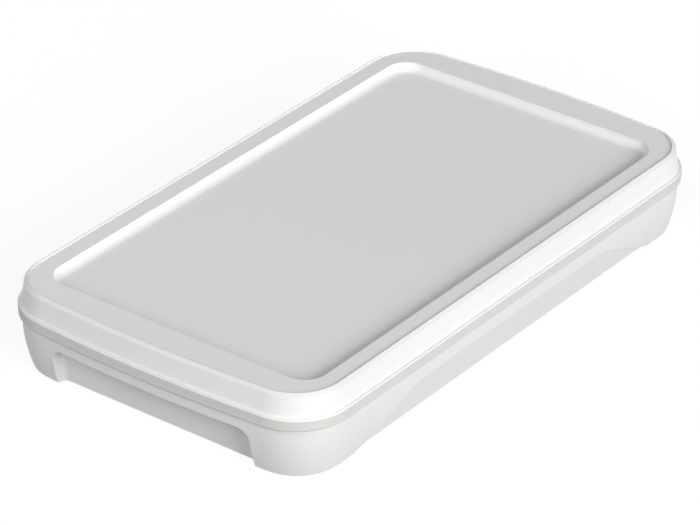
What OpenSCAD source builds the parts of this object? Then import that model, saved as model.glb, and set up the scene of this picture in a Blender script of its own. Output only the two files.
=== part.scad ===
// Two-part moulded case for electronics with a soft seal ring between its halves.
// X runs across the case, Y along it, and Z up from the plane that the foot pads stand on.
// Offsets count outwards from the face of the seal ring, which is the widest part of the case.

/* [Outline] */
// Width over the seal ring
case_w = 93.5; // [86:0.5:110]
// Length over the seal ring, along the middle of the case
case_l = 162.2; // [150:0.5:200]
// Corner radius of the seal ring, seen from above
corner_r = 14.5; // [13:0.5:20]
// Radius of the slight bow of the short ends
end_bow_r = 420; // [250:10:900]

/* [Bottom shell] */
// Height of the bottom shell, from its base to the parting face
bottom_h = 13.5; // [12:0.5:24]
// Wall thickness of both shells
wall_t = 2.5; // [2:0.1:3]
// Thickness of the base
floor_t = 2.5; // [2:0.1:4]
// How far the bottom shell's upper edge is set in from the seal ring
bottom_inset = 0.9; // [0.6:0.1:1.2]
// Height of the upright strip at the top of the bottom shell's sides
side_flat_h = 1.5; // [1:0.5:4]
// Radius on which the bottom shell's sides turn in towards the base
side_r = 35; // [22:0.1:60]
// Fillet between the sides and the base
base_edge_r = 0.5; // [0.3:0.1:1.5]
// Rounding of the bottom shell's upper outer edge
part_edge_r = 0.3; // [0.2:0.05:0.5]
// Height of the beads that fill out the bottom shell's corners under the seal ring
bead_h = 0.4; // [0.3:0.1:0.8]
// How far the beads are set in from the seal ring's face
bead_inset = 0.3; // [0.2:0.1:0.5]

/* [End grips] */
// Width of the recess in each short end
grip_w = 58.8; // [40:0.2:62]
// Height of the end recess above the base
grip_h = 10.5; // [6:0.1:11]
// Distance from the seal ring's face to the foot of the end recess's back wall
grip_depth = 6.3; // [5:0.1:7]
// Lean of the back wall, in degrees
grip_draft = 5; // [0:1:8]
// Radius of the end recess's upper corners
grip_corner_r = 3.5; // [1:0.1:5]
// Radius between the end recess's back wall and its ends
grip_inner_r = 1.4; // [0.5:0.1:2]

/* [Side scoops] */
// Length of the level upper edge of each side scoop, from corner to corner
scoop_l = 76; // [50:1:84]
// Height of the side scoop above the base
scoop_h = 9.5; // [6:0.1:11]
// Depth of the side scoop at its foot
scoop_depth = 1; // [0.4:0.1:1.2]
// Depth of the side scoop at its upper edge
scoop_step = 0.15; // [0.05:0.05:0.4]
// Fall of the side scoop's ends, in degrees
scoop_fall = 23.5; // [20:0.5:40]
// Radius that blends the scoop's upper edge into its ends
scoop_blend_r = 25; // [5:1:30]

/* [Seal ring] */
// Height of the seal ring
ring_h = 2.7; // [2:0.1:3.2]
// Rounding of the ring's lower outer edge
ring_edge_r = 0.5; // [0.2:0.05:0.6]

/* [Top shell] */
// Height of the top shell, from the seal ring to its raised edge
top_h = 6.1; // [6:0.1:14]
// How far the top shell's lip is set in from the seal ring
lip_inset = 0.1; // [0.05:0.05:0.15]
// Height of the lip along the top shell's lower edge
lip_h = 0.45; // [0.4:0.05:0.8]
// Rounding of the lip's outer edge
lip_r = 0.3; // [0.2:0.05:0.35]
// Radius that blends the lip into the side above it
flare_r = 0.5; // [0.3:0.05:0.55]
// How far the side is set in from the seal ring above the lip
top_inset = 0.95; // [0.9:0.05:1.3]
// How far the raised edge's inner side is set in from the seal ring
crest_inset = 2.6; // [2.4:0.1:3.2]
// Width of the bevel on the raised edge
crest_bevel_w = 1; // [0.6:0.1:1.2]
// Height of the bevel on the raised edge
crest_bevel_h = 0.6; // [0.3:0.1:1]
// Step from the raised edge down to the flat rim
rim_step = 0.4; // [0.3:0.1:0.9]
// Thickness of the top
lid_t = 2.2; // [1.6:0.1:2.4]

/* [Keypad recess] */
// Width of the recess in the top
recess_w = 79; // [60:0.5:80]
// Length of the recess in the top
recess_l = 140; // [100:0.5:141]
// Depth of the recess below the rim
recess_depth = 2.2; // [1:0.1:2.5]
// Corner radius of the recess
recess_corner_r = 6; // [3:0.5:10]
// Radius that blends the recess's sides into its floor
recess_blend_r = 2; // [0.5:0.1:2.2]

/* [Joint between the shells] */
// Thickness of the bottom shell's upright tongue
tongue_t = 1; // [0.8:0.1:1.2]
// How far the tongue reaches into the top shell
tongue_h = 1; // [0.5:0.1:1.4]
// Clearance beside and above the tongue
joint_gap = 0.1; // [0.05:0.01:0.15]

/* [Case screws] */
// Distance from the seal ring's side face to the screws
screw_inset_x = 12.5; // [12:0.1:14]
// Distance from the seal ring's end face to the screws, along the middle of the case
screw_inset_y = 14.5; // [14:0.1:18]
// Core diameter of the screw's thread
screw_core_d = 2.4; // [2:0.1:2.6]
// Length of the screw under its head
screw_l = 12; // [11.5:0.5:12.5]
// Diameter of the screw's head
head_d = 5.6; // [5:0.1:6]
// Height of the screw's head
head_h = 2.2; // [1.8:0.1:2.4]
// Width of the slots of the cross recess
drive_w = 0.9; // [0.6:0.1:1.2]
// Span of the cross recess
drive_span = 3; // [2.5:0.1:3.4]
// Depth of the cross recess
drive_depth = 1.2; // [0.8:0.1:1.4]
// Diameter of the bottom shell's screw pillars
pillar_d = 9.5; // [9:0.1:10]
// Diameter of the top shell's screw pillars
top_pillar_d = 8; // [6:0.1:9]
// Height above the base at which the pillars meet
pillar_meet_h = 10; // [8:0.1:11]
// Depth of the counterbore for the screw's head
counterbore_depth = 3.2; // [2.8:0.1:3.6]
// Clearance round the screw's head
head_gap = 0.45; // [0.2:0.05:0.5]
// Clearance round the screw's thread in the bottom shell's pillars
shank_gap = 0.5; // [0.3:0.05:0.6]
// Clearance round the screw's core in the top shell's pilot holes
pilot_gap = 0.05; // [0.02:0.01:0.1]
// Depth of the pilot holes past the screws' ends
pilot_spare = 0.6; // [0.3:0.1:0.8]

/* [Circuit board pillars] */
// Distance between the board pillars across the case
board_x = 60; // [40:1:70]
// Distance between the board pillars along the case
board_y = 90; // [60:1:104]
// Height of the board pillars above the floor
board_pillar_h = 5; // [4:0.5:8]
// Diameter of the board pillars
board_pillar_d = 6; // [5:0.5:8]
// Diameter of the pilot holes in the board pillars
board_hole_d = 2.5; // [2:0.1:3]
// Depth of the pilot holes in the board pillars
board_hole_depth = 4.5; // [3:0.5:5]

/* [Foot pads] */
// Diameter of the foot pads
foot_d = 9; // [6:0.5:10]
// How far the foot pads stand below the base
foot_proud = 0.5; // [0.3:0.1:1]
// How deep the foot pads are let into the base
foot_sunk = 0.8; // [0.5:0.1:1.2]
// Clearance round the foot pads
foot_gap = 0.1; // [0.05:0.01:0.2]
// Distance from the screws to the foot pads, across the case
foot_from_screw_x = 10.5; // [9.5:0.5:16]
// Distance from the screws to the foot pads, along the case
foot_from_screw_y = 6; // [4:0.5:16]

/* [Hidden] */
SIDES = ["front_left", "front_right", "rear_left", "rear_right"];

// Steps along a rounded edge and along the curve of the sides
edge_steps = 6;
curve_steps = 10;
// Facets of a full turn at the corners, at the bowed ends and on small round features
corner_fn = 96;
bow_fn = 360;
round_fn = 48;
// Degrees by which the corners of a sweep run on inside its sides and ends
corner_lap = 4;
// Overlap that lets a cut run past the face that it opens
past = 1;

// Plan outline of the seal ring: the angle at which a corner meets the bowed end, and the corner's centre
half_w = case_w / 2;
half_l = case_l / 2;
bow_y = half_l - end_bow_r;
corner_turn = snap(acos((half_w - corner_r) / (end_bow_r - corner_r)), 0.0001);
corner_at = [0, bow_y, 0] + (end_bow_r - corner_r) * [cos(corner_turn), sin(corner_turn), 0];

// Levels
base_z = foot_proud;
floor_z = base_z + floor_t;
part_z = base_z + bottom_h;
joint_z = part_z + ring_h;
tongue_z = joint_z + tongue_h;
crest_z = joint_z + top_h;
rim_z = crest_z - rim_step;
recess_z = rim_z - recess_depth;
skin_z = recess_z - lid_t;
bend_z = part_z - side_flat_h;

// Offsets of the faces at the joint between the shells
tongue_in = bottom_inset + wall_t;
tongue_out = tongue_in - tongue_t;
lap_in = tongue_out - joint_gap;
top_in = top_inset + wall_t;
// A filled outline's sides reach this far in, and its plain core starts a little nearer to the face
flange = 0.86 * corner_r;
core_inset = 0.66 * corner_r;

// Beads at the corners: arcs about points moved outwards, which merge with the side at this angle
bead_turn = 40;
bead_shift = (bottom_inset - bead_inset) / (1 - cos(bead_turn));
bead_r = corner_r - bead_inset - bead_shift;

// Screws, pads and board pillars
screw_x = half_w - screw_inset_x;
screw_y = half_l - screw_inset_y;
seat_z = base_z + counterbore_depth;
foot_x = screw_x - foot_from_screw_x;
foot_y = screw_y - foot_from_screw_y;
foot_top_z = base_z + foot_sunk;

// A value rounded to a whole number of steps
function snap(v, step) = round(v / step) * step;

// Points of an arc about c, from angle a0 to a1
function arc(c, r, a0, a1, steps) =
    [for (i = [0:steps]) let (t = a0 + (a1 - a0) * i / steps) [c[0] + r * cos(t), c[1] + r * sin(t)]];

// Offset of the bottom shell's curved side at height z
function side_at(z) = sqrt(pow(side_r, 2) - pow(max(bend_z - z, 0), 2)) - side_r - bottom_inset;

// Outer side of the bottom shell, down from the top of its tongue to its base
function bottom_outside() =
    let (
        edge = [-bottom_inset - part_edge_r, part_z - part_edge_r],
        bend = [-bottom_inset - side_r, bend_z],
        drop = bend_z - base_z - base_edge_r,
        turn = -asin(drop / (side_r - base_edge_r)),
        foot = [bend[0] + sqrt(pow(side_r - base_edge_r, 2) - pow(drop, 2)), base_z + base_edge_r]
    )
    concat(
        [[-tongue_out, tongue_z], [-tongue_out, part_z]],
        arc(edge, part_edge_r, 90, 0, edge_steps),
        arc(bend, side_r, 0, turn, curve_steps),
        arc(foot, base_edge_r, turn, -90, edge_steps)
    );

// Inner side of the bottom shell's wall, up from the floor past the top of the tongue
function bottom_inside() =
    let (turn = -asin((bend_z - floor_z) / side_r))
    concat(
        arc([-tongue_in - side_r, bend_z], side_r, turn, 0, curve_steps),
        [[-tongue_in, tongue_z + past]]
    );

// Outer side of the seal ring, up from the parting face
function ring_outside() = concat(
    arc([-ring_edge_r, part_z + ring_edge_r], ring_edge_r, -90, 0, edge_steps),
    [[0, joint_z]]
);

// Inner side of the seal ring, which goes round the tongue
function ring_inside() = [[-lap_in, part_z - past], [-lap_in, joint_z + past]];

// Outer side of the top shell, up from its lip, along the side and over the bevel of the raised edge
function top_outside() =
    let (
        edge = [-lip_inset - lip_r, joint_z + lip_h - lip_r],
        flare = [-top_inset + flare_r, joint_z + lip_h + flare_r]
    )
    concat(
        [[-lip_inset, joint_z]],
        arc(edge, lip_r, 0, 90, edge_steps),
        arc(flare, flare_r, 270, 180, edge_steps),
        [[crest_bevel_w - crest_inset, crest_z - crest_bevel_h], [-crest_inset, crest_z]]
    );

// Inner side of the raised edge, up from the rim
function crest_inside() = [[-crest_inset, rim_z], [-crest_inset, crest_z + past]];

// Inner side of the top shell: past the tongue, then up the wall to the underside of the rim
function top_inside() = [
    [-lap_in, joint_z - past], [-lap_in, tongue_z + joint_gap],
    [-top_in, tongue_z + joint_gap], [-top_in, rim_z - lid_t]
];

// Moves its children in a coarse and a fine step, which places them more exactly than one step does
module place(v) {
    coarse = [for (c = v) snap(c, 0.01)];
    translate(coarse) translate(v - coarse) children();
}

// Puts its children, and their mirror images, on both sides of the middle
module both_x() {
    for (mx = [0, 1]) mirror([mx, 0, 0]) children();
}

module both_y() {
    for (my = [0, 1]) mirror([0, my, 0]) children();
}

// A section of [offset, height] points, moved out to radius r
module section_at(r, points) {
    polygon([for (p = points) [r + snap(p[0], 0.001), p[1]]]);
}

// A solid of the case's plan outline, whose side follows points of [offset, height] from end to end
module filled(side) {
    last = len(side) - 1;
    section = concat([[-flange, side[0][1]]], side, [[-flange, side[last][1]]]);
    both_y() {
        both_x() place(corner_at) {
            rotate_extrude(angle = corner_turn + 2 * corner_lap, start = -corner_lap, $fn = corner_fn)
                section_at(corner_r, section);
            rotate([90, 0, 0]) linear_extrude(corner_at[1] + past) section_at(corner_r, section);
        }
        translate([0, bow_y, 0])
            rotate_extrude(angle = 180 - 2 * corner_turn, start = corner_turn, $fn = bow_fn)
                section_at(end_bow_r, section);
    }
    block(
        [case_w - 2 * core_inset, case_l - 2 * core_inset],
        min(side[0][1], side[last][1]), max(side[0][1], side[last][1])
    );
}

// A block centred on the Z axis, from height z0 to z1
module block(size, z0, z1) {
    translate([-size[0] / 2, -size[1] / 2, z0]) cube([size[0], size[1], z1 - z0]);
}

// A block with rounded upright edges, centred on the Z axis, from height z0 to z1
module round_block(size, r, z0, z1) {
    translate([0, 0, z0]) linear_extrude(z1 - z0) union() {
        square([size[0] - 2 * r, size[1]], center = true);
        square([size[0], size[1] - 2 * r], center = true);
        for (x = [-1, 1], y = [-1, 1])
            translate([x * (size[0] / 2 - r), y * (size[1] / 2 - r)]) circle(r, $fn = round_fn);
    }
}

// A rod on the Z axis, from height z0 to z1
module rod(d, z0, z1) {
    translate([0, 0, z0]) cylinder(d = d, h = z1 - z0, $fn = round_fn);
}

// Puts its children at the four places [x, y], [-x, y] and so on
module four(x, y) {
    for (sx = [-1, 1], sy = [-1, 1]) translate([sx * x, sy * y, 0]) children();
}

// A rectangle from [0, 0] to [w, h] with two corners rounded: the upper ones, or with low set the lower ones
module half_rounded(w, h, r, low = false) {
    cut = low ? r : 0;
    translate([0, cut]) square([w, h - r]);
    translate([r, 0]) square([w - 2 * r, h]);
    for (x = [r, w - r]) translate([x, low ? r : h - r]) circle(r, $fn = round_fn);
}

// Recess in the +Y end: its outline from the front, cut off by a leaning back wall with rounded ends
module end_grip() {
    deep = grip_depth + 2 * past;
    intersection() {
        translate([-grip_w / 2, half_l + past, base_z - past])
            rotate([90, 0, 0])
                linear_extrude(deep + grip_h) half_rounded(grip_w, grip_h + past, grip_corner_r);
        translate([-grip_w / 2, half_l - grip_depth, base_z])
            rotate([-grip_draft, 0, 0])
                translate([0, 0, -2 * past])
                    linear_extrude(grip_h + 4 * past) half_rounded(grip_w, deep, grip_inner_r, true);
    }
}

// What is left standing inside the +Y end, one wall thicker than the recess on all sides
module end_backing() {
    wall_y = half_l - grip_depth - wall_t;
    translate([-grip_w / 2 - wall_t, wall_y, base_z])
        cube([grip_w + 2 * wall_t, half_l - wall_y, grip_h + wall_t]);
}

// Scoop in the +X side: a flat ramp, cut to a low arch
module side_scoop() {
    tangent = scoop_blend_r * tan(scoop_fall / 2);
    blend = [scoop_l / 2 - tangent, scoop_h - scoop_blend_r];
    reach = scoop_l / 2 + (scoop_h + past) / tan(scoop_fall);
    half_arch = concat(
        arc(blend, scoop_blend_r, 90, 90 - scoop_fall, edge_steps),
        [[reach, -past]]
    );
    arch = concat([for (i = [len(half_arch) - 1:-1:0]) [-half_arch[i][0], half_arch[i][1]]], half_arch);
    top = [side_at(base_z + scoop_h) - scoop_step, base_z + scoop_h];
    foot = [side_at(base_z) - scoop_depth, base_z];
    run_on = (top - foot) / 4;
    ramp = [top + run_on, foot - run_on];
    intersection() {
        translate([half_w, reach + past, 0])
            rotate([90, 0, 0])
                linear_extrude(2 * (reach + past))
                    polygon(concat(ramp, [[past, ramp[1][1]], [past, ramp[0][1]]]));
        translate([half_w - corner_r, 0, base_z])
            rotate([90, 0, 90])
                linear_extrude(corner_r + past) polygon(arch);
    }
}

// Discs under the seal ring's corners; all but their outer edges lies within the wall or is cut by the inside
module corner_beads() {
    four(corner_at[0] + bead_shift * cos(45), corner_at[1] + bead_shift * sin(45))
        rod(2 * bead_r, part_z - bead_h, part_z);
}

module bottom_shell() {
    color([0.86, 0.86, 0.85]) difference() {
        union() {
            difference() {
                union() {
                    filled(bottom_outside());
                    corner_beads();
                }
                difference() {
                    filled(bottom_inside());
                    both_y() end_backing();
                }
            }
            four(screw_x, screw_y) rod(pillar_d, floor_z - floor_t / 2, base_z + pillar_meet_h);
            four(board_x / 2, board_y / 2)
                rod(board_pillar_d, floor_z - floor_t / 2, floor_z + board_pillar_h);
        }
        both_y() end_grip();
        both_x() side_scoop();
        four(screw_x, screw_y) {
            rod(screw_core_d + 2 * shank_gap, base_z, part_z);
            rod(head_d + 2 * head_gap, base_z - past, seat_z);
        }
        four(board_x / 2, board_y / 2)
            rod(board_hole_d, floor_z + board_pillar_h - board_hole_depth, part_z);
        four(foot_x, foot_y) rod(foot_d + 2 * foot_gap, base_z - past, foot_top_z);
    }
}

// Half of the keypad recess's section, out to the given reach
module recess_section(reach) {
    blend_z = recess_z + recess_blend_r;
    translate([0, recess_z]) square([reach - recess_blend_r, crest_z + past - recess_z]);
    translate([0, blend_z]) square([reach, crest_z + past - blend_z]);
    translate([reach - recess_blend_r, blend_z]) circle(recess_blend_r, $fn = round_fn);
}

// What the keypad recess takes out of the top
module keypad_recess() {
    mid_x = recess_w / 2 - recess_corner_r;
    mid_y = recess_l / 2 - recess_corner_r;
    both_x() translate([0, mid_y, 0]) rotate([90, 0, 0])
        linear_extrude(2 * mid_y) recess_section(recess_w / 2);
    both_y() translate([-mid_x, 0, 0]) rotate([90, 0, 90])
        linear_extrude(2 * mid_x) recess_section(recess_l / 2);
    both_x() both_y() translate([mid_x, mid_y, 0])
        rotate_extrude(angle = 90, $fn = corner_fn) recess_section(recess_corner_r);
}

module top_shell() {
    pan_w = recess_w + 2 * lid_t;
    pan_l = recess_l + 2 * lid_t;
    color([0.88, 0.88, 0.87]) difference() {
        union() {
            difference() {
                filled(top_outside());
                filled(crest_inside());
                filled(top_inside());
            }
            round_block([pan_w, pan_l], recess_corner_r + lid_t, skin_z, rim_z - lid_t / 2);
            four(screw_x, screw_y) rod(top_pillar_d, base_z + pillar_meet_h, rim_z - lid_t / 2);
        }
        keypad_recess();
        four(screw_x, screw_y)
            rod(screw_core_d + 2 * pilot_gap, base_z, seat_z + screw_l + pilot_spare);
    }
}

module seal_ring() {
    color([0.78, 0.78, 0.75]) difference() {
        filled(ring_outside());
        filled(ring_inside());
    }
}

// Pan-head screw that stands head down in its counterbore
module case_screw() {
    color([0.55, 0.56, 0.58]) difference() {
        union() {
            rod(head_d, seat_z - head_h, seat_z);
            rod(screw_core_d, seat_z, seat_z + screw_l);
        }
        for (turn = [0, 90]) rotate(turn)
            block([drive_span, drive_w], seat_z - head_h - past, seat_z - head_h + drive_depth);
    }
}

module foot_pad() {
    color([0.3, 0.3, 0.3]) rod(foot_d, 0, foot_top_z);
}

bottom_shell();
top_shell();
seal_ring();
for (i = [0:len(SIDES) - 1]) {
    sx = i % 2 == 0 ? -1 : 1;
    sy = i < 2 ? -1 : 1;
    translate([sx * screw_x, sy * screw_y, 0]) case_screw();
    translate([sx * foot_x, sy * foot_y, 0]) foot_pad();
}
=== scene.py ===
import math

import bpy
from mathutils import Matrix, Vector

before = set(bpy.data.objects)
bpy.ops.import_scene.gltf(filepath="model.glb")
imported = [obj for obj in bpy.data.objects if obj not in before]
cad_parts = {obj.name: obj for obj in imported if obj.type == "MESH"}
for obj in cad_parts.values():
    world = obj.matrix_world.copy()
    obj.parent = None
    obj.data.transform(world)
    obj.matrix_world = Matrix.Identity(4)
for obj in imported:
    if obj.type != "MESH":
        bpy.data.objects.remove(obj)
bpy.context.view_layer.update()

MM = 0.001
CORNERS = ("front_left", "front_right", "rear_left", "rear_right")
SCREWS = [f"case_screw_{corner}" for corner in CORNERS]
PADS = [f"foot_pad_{corner}" for corner in CORNERS]

# Camera, in degrees, pixels and millimetres: it looks at a point on the rim's level
VIEW_AZIMUTH = 37.48
VIEW_ELEVATION = 30.17
VIEW_DISTANCE = 937.7
VIEW_TARGET = (13.44, -21.21, 22.4)
VIEW_FOCAL_PX = 4000
PHOTO_W = 700
SENSOR_W = 36.0
# The nearest and farthest that it sees, in metres
CLIP_NEAR = 0.05
CLIP_FAR = 20

# Lamps: name, azimuth from the front towards the right and elevation in degrees, and watts
LAMPS = [
    ("key_right", 70, 20, 75), ("side_right", 105, 28, 32),
    ("fill_front", 0, 20, 22), ("fill_high", -25, 45, 23),
    ("rear_low", 235, 10, 15),
]
# Their side length, their distance and the point that they face, in metres
LAMP_SIZE = 1.2
LAMP_DISTANCE = 3.0
LAMP_AIM = (0, 0, 0.01)

# Strength of the white surround: of the light that it gives, and as it is seen
SURROUND_LIGHT = 0.10
SURROUND_SEEN = 1.0

# Floor, in metres: its colour for the light that bounces, its colour as it is seen, and what brings that to white
FLOOR_SIZE = 8
FLOOR_ROUGH = 0.9
FLOOR_BOUNCE = (0.36, 0.36, 0.36)
FLOOR_SEEN = (0.16, 0.16, 0.16)
FLOOR_GLOW = 0.88
WHITE = (1, 1, 1, 1)

# Moulded pieces: the slow drift of their colour, and their fine grain, with its height in metres
DRIFT_SCALE = 18.0
GRAIN_DETAIL = 3.0
GRAIN_ROUGH = 0.6
GRAIN_HEIGHT = 0.00002

# Plated steel: the mottle of its colour, and the finer one of its roughness
MOTTLE_SCALE = 300.0
FINE_SCALE = 4000.0
FINE_DETAIL = 3.0

# Sockets of the mix node when it mixes colours
MIX_FACTOR, MIX_A, MIX_B, MIX_RESULT = 0, 6, 7, 2


def material(name):
    """A new node material, its tree and its Principled shader."""
    mat = bpy.data.materials.new(name)
    mat.use_nodes = True
    return mat, mat.node_tree, mat.node_tree.nodes["Principled BSDF"]


def noise(tree, scale, detail=2.0, rough=0.5):
    """The 0 to 1 factor of a noise texture on object coordinates."""
    coords = tree.nodes.new("ShaderNodeTexCoord")
    tex = tree.nodes.new("ShaderNodeTexNoise")
    for name, value in (("Scale", scale), ("Detail", detail), ("Roughness", rough)):
        tex.inputs[name].default_value = value
    tree.links.new(coords.outputs["Object"], tex.inputs["Vector"])
    return tex.outputs["Fac"]


def ranged(tree, source, low, high):
    """The source's 0 to 1 mapped to low to high."""
    node = tree.nodes.new("ShaderNodeMapRange")
    node.inputs["To Min"].default_value = low
    node.inputs["To Max"].default_value = high
    tree.links.new(source, node.inputs["Value"])
    return node.outputs["Result"]


def tinted(tree, factor, first, second):
    """The first colour where the factor is 0, the second where it is 1, and a mix of both between."""
    node = tree.nodes.new("ShaderNodeMix")
    node.data_type = "RGBA"
    node.inputs[MIX_A].default_value = (*first, 1)
    node.inputs[MIX_B].default_value = (*second, 1)
    tree.links.new(factor, node.inputs[MIX_FACTOR])
    return node.outputs[MIX_RESULT]


def moulded(name, dark, light, rough, grain_scale, relief):
    """Moulded plastic or rubber: a fine grain in its relief and roughness, and a slow, faint drift of its colour."""
    mat, tree, shader = material(name)
    tree.links.new(tinted(tree, noise(tree, DRIFT_SCALE), dark, light), shader.inputs["Base Color"])
    grain = noise(tree, grain_scale, GRAIN_DETAIL, GRAIN_ROUGH)
    tree.links.new(ranged(tree, grain, *rough), shader.inputs["Roughness"])
    bump = tree.nodes.new("ShaderNodeBump")
    bump.inputs["Strength"].default_value = relief
    bump.inputs["Distance"].default_value = GRAIN_HEIGHT
    tree.links.new(grain, bump.inputs["Height"])
    tree.links.new(bump.outputs["Normal"], shader.inputs["Normal"])
    return mat


def plated(name, dark, light, rough):
    """Plated metal: a faint mottle in its colour, and a finer one in its roughness."""
    mat, tree, shader = material(name)
    tree.links.new(tinted(tree, noise(tree, MOTTLE_SCALE), dark, light), shader.inputs["Base Color"])
    tree.links.new(ranged(tree, noise(tree, FINE_SCALE, FINE_DETAIL), *rough), shader.inputs["Roughness"])
    shader.inputs["Metallic"].default_value = 1.0
    return mat


def dress(names, mat):
    """Gives the nodes the material."""
    for name in names:
        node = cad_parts[name]
        node.data.materials.clear()
        node.data.materials.append(mat)


def dress_all():
    """Two tones of satin plastic, soft rubber between them, and hidden screws and pads."""
    top = moulded(
        "top_plastic", dark=(0.70, 0.70, 0.697), light=(0.72, 0.72, 0.717),
        rough=(0.42, 0.52), grain_scale=5200.0, relief=0.10,
    )
    bottom = moulded(
        "bottom_plastic", dark=(0.627, 0.627, 0.624), light=(0.647, 0.647, 0.644),
        rough=(0.42, 0.52), grain_scale=5200.0, relief=0.10,
    )
    seal = moulded(
        "seal_rubber", dark=(0.54, 0.533, 0.518), light=(0.56, 0.553, 0.538),
        rough=(0.55, 0.68), grain_scale=4200.0, relief=0.12,
    )
    pad = moulded(
        "pad_rubber", dark=(0.028, 0.028, 0.03), light=(0.034, 0.034, 0.036),
        rough=(0.65, 0.8), grain_scale=3600.0, relief=0.25,
    )
    steel = plated("screw_steel", dark=(0.52, 0.53, 0.55), light=(0.60, 0.61, 0.63), rough=(0.28, 0.42))
    dress(["bottom_shell"], bottom)
    dress(["top_shell"], top)
    dress(["seal_ring"], seal)
    dress(SCREWS, steel)
    dress(PADS, pad)


def seen_directly(tree):
    """1 for the rays of the camera, of clear reflections and through clear pieces, 0 for the light that bounces."""
    path = tree.nodes.new("ShaderNodeLightPath")
    total = path.outputs["Is Camera Ray"]
    for kind in ("Is Glossy Ray", "Is Transmission Ray"):
        node = tree.nodes.new("ShaderNodeMath")
        node.operation = "MAXIMUM"
        tree.links.new(total, node.inputs[0])
        tree.links.new(path.outputs[kind], node.inputs[1])
        total = node.outputs[0]
    return total


def white_floor():
    """A pale floor, seen as white with the object's shadow on it."""
    bpy.ops.mesh.primitive_plane_add(size=FLOOR_SIZE)
    floor = bpy.context.object
    floor.name = "floor"
    mat, tree, shader = material("floor_white")
    for name, value in (("Roughness", FLOOR_ROUGH), ("Specular IOR Level", 0.0), ("Emission Color", WHITE)):
        shader.inputs[name].default_value = value
    seen = seen_directly(tree)
    tree.links.new(tinted(tree, seen, FLOOR_BOUNCE, FLOOR_SEEN), shader.inputs["Base Color"])
    tree.links.new(ranged(tree, seen, 0.0, FLOOR_GLOW), shader.inputs["Emission Strength"])
    floor.data.materials.append(mat)


def direction(azimuth, elevation):
    """The way from the object that has this azimuth and elevation, in degrees."""
    a, e = math.radians(azimuth), math.radians(elevation)
    return Vector((math.sin(a) * math.cos(e), -math.cos(a) * math.cos(e), math.sin(e)))


def lamp(name, azimuth, elevation, watts):
    """A large square lamp that faces the object."""
    data = bpy.data.lights.new(name, "AREA")
    data.shape = "SQUARE"
    data.size = LAMP_SIZE
    data.energy = watts
    obj = bpy.data.objects.new(name, data)
    bpy.context.scene.collection.objects.link(obj)
    place = direction(azimuth, elevation) * LAMP_DISTANCE
    obj.location = place
    obj.rotation_euler = (Vector(LAMP_AIM) - place).to_track_quat("-Z", "Y").to_euler()


def studio():
    """Two lamps from the right, two weaker ones from the front, a low one behind, and an even white surround."""
    for values in LAMPS:
        lamp(*values)
    world = bpy.data.worlds.new("world")
    bpy.context.scene.world = world
    world.use_nodes = True
    tree = world.node_tree
    back = tree.nodes["Background"]
    back.inputs["Color"].default_value = WHITE
    tree.links.new(ranged(tree, seen_directly(tree), SURROUND_LIGHT, SURROUND_SEEN), back.inputs["Strength"])


def place_camera():
    """The photo's view."""
    back = direction(VIEW_AZIMUTH, VIEW_ELEVATION)
    data = bpy.data.cameras.new("camera")
    data.sensor_width = SENSOR_W
    data.lens = SENSOR_W * VIEW_FOCAL_PX / PHOTO_W
    data.clip_start = CLIP_NEAR
    data.clip_end = CLIP_FAR
    camera = bpy.data.objects.new("camera", data)
    bpy.context.scene.collection.objects.link(camera)
    camera.location = Vector(VIEW_TARGET) * MM + back * VIEW_DISTANCE * MM
    camera.rotation_euler = back.to_track_quat("Z", "Y").to_euler()
    bpy.context.scene.camera = camera


dress_all()
white_floor()
studio()
bpy.context.scene.view_settings.view_transform = "Standard"
place_camera()
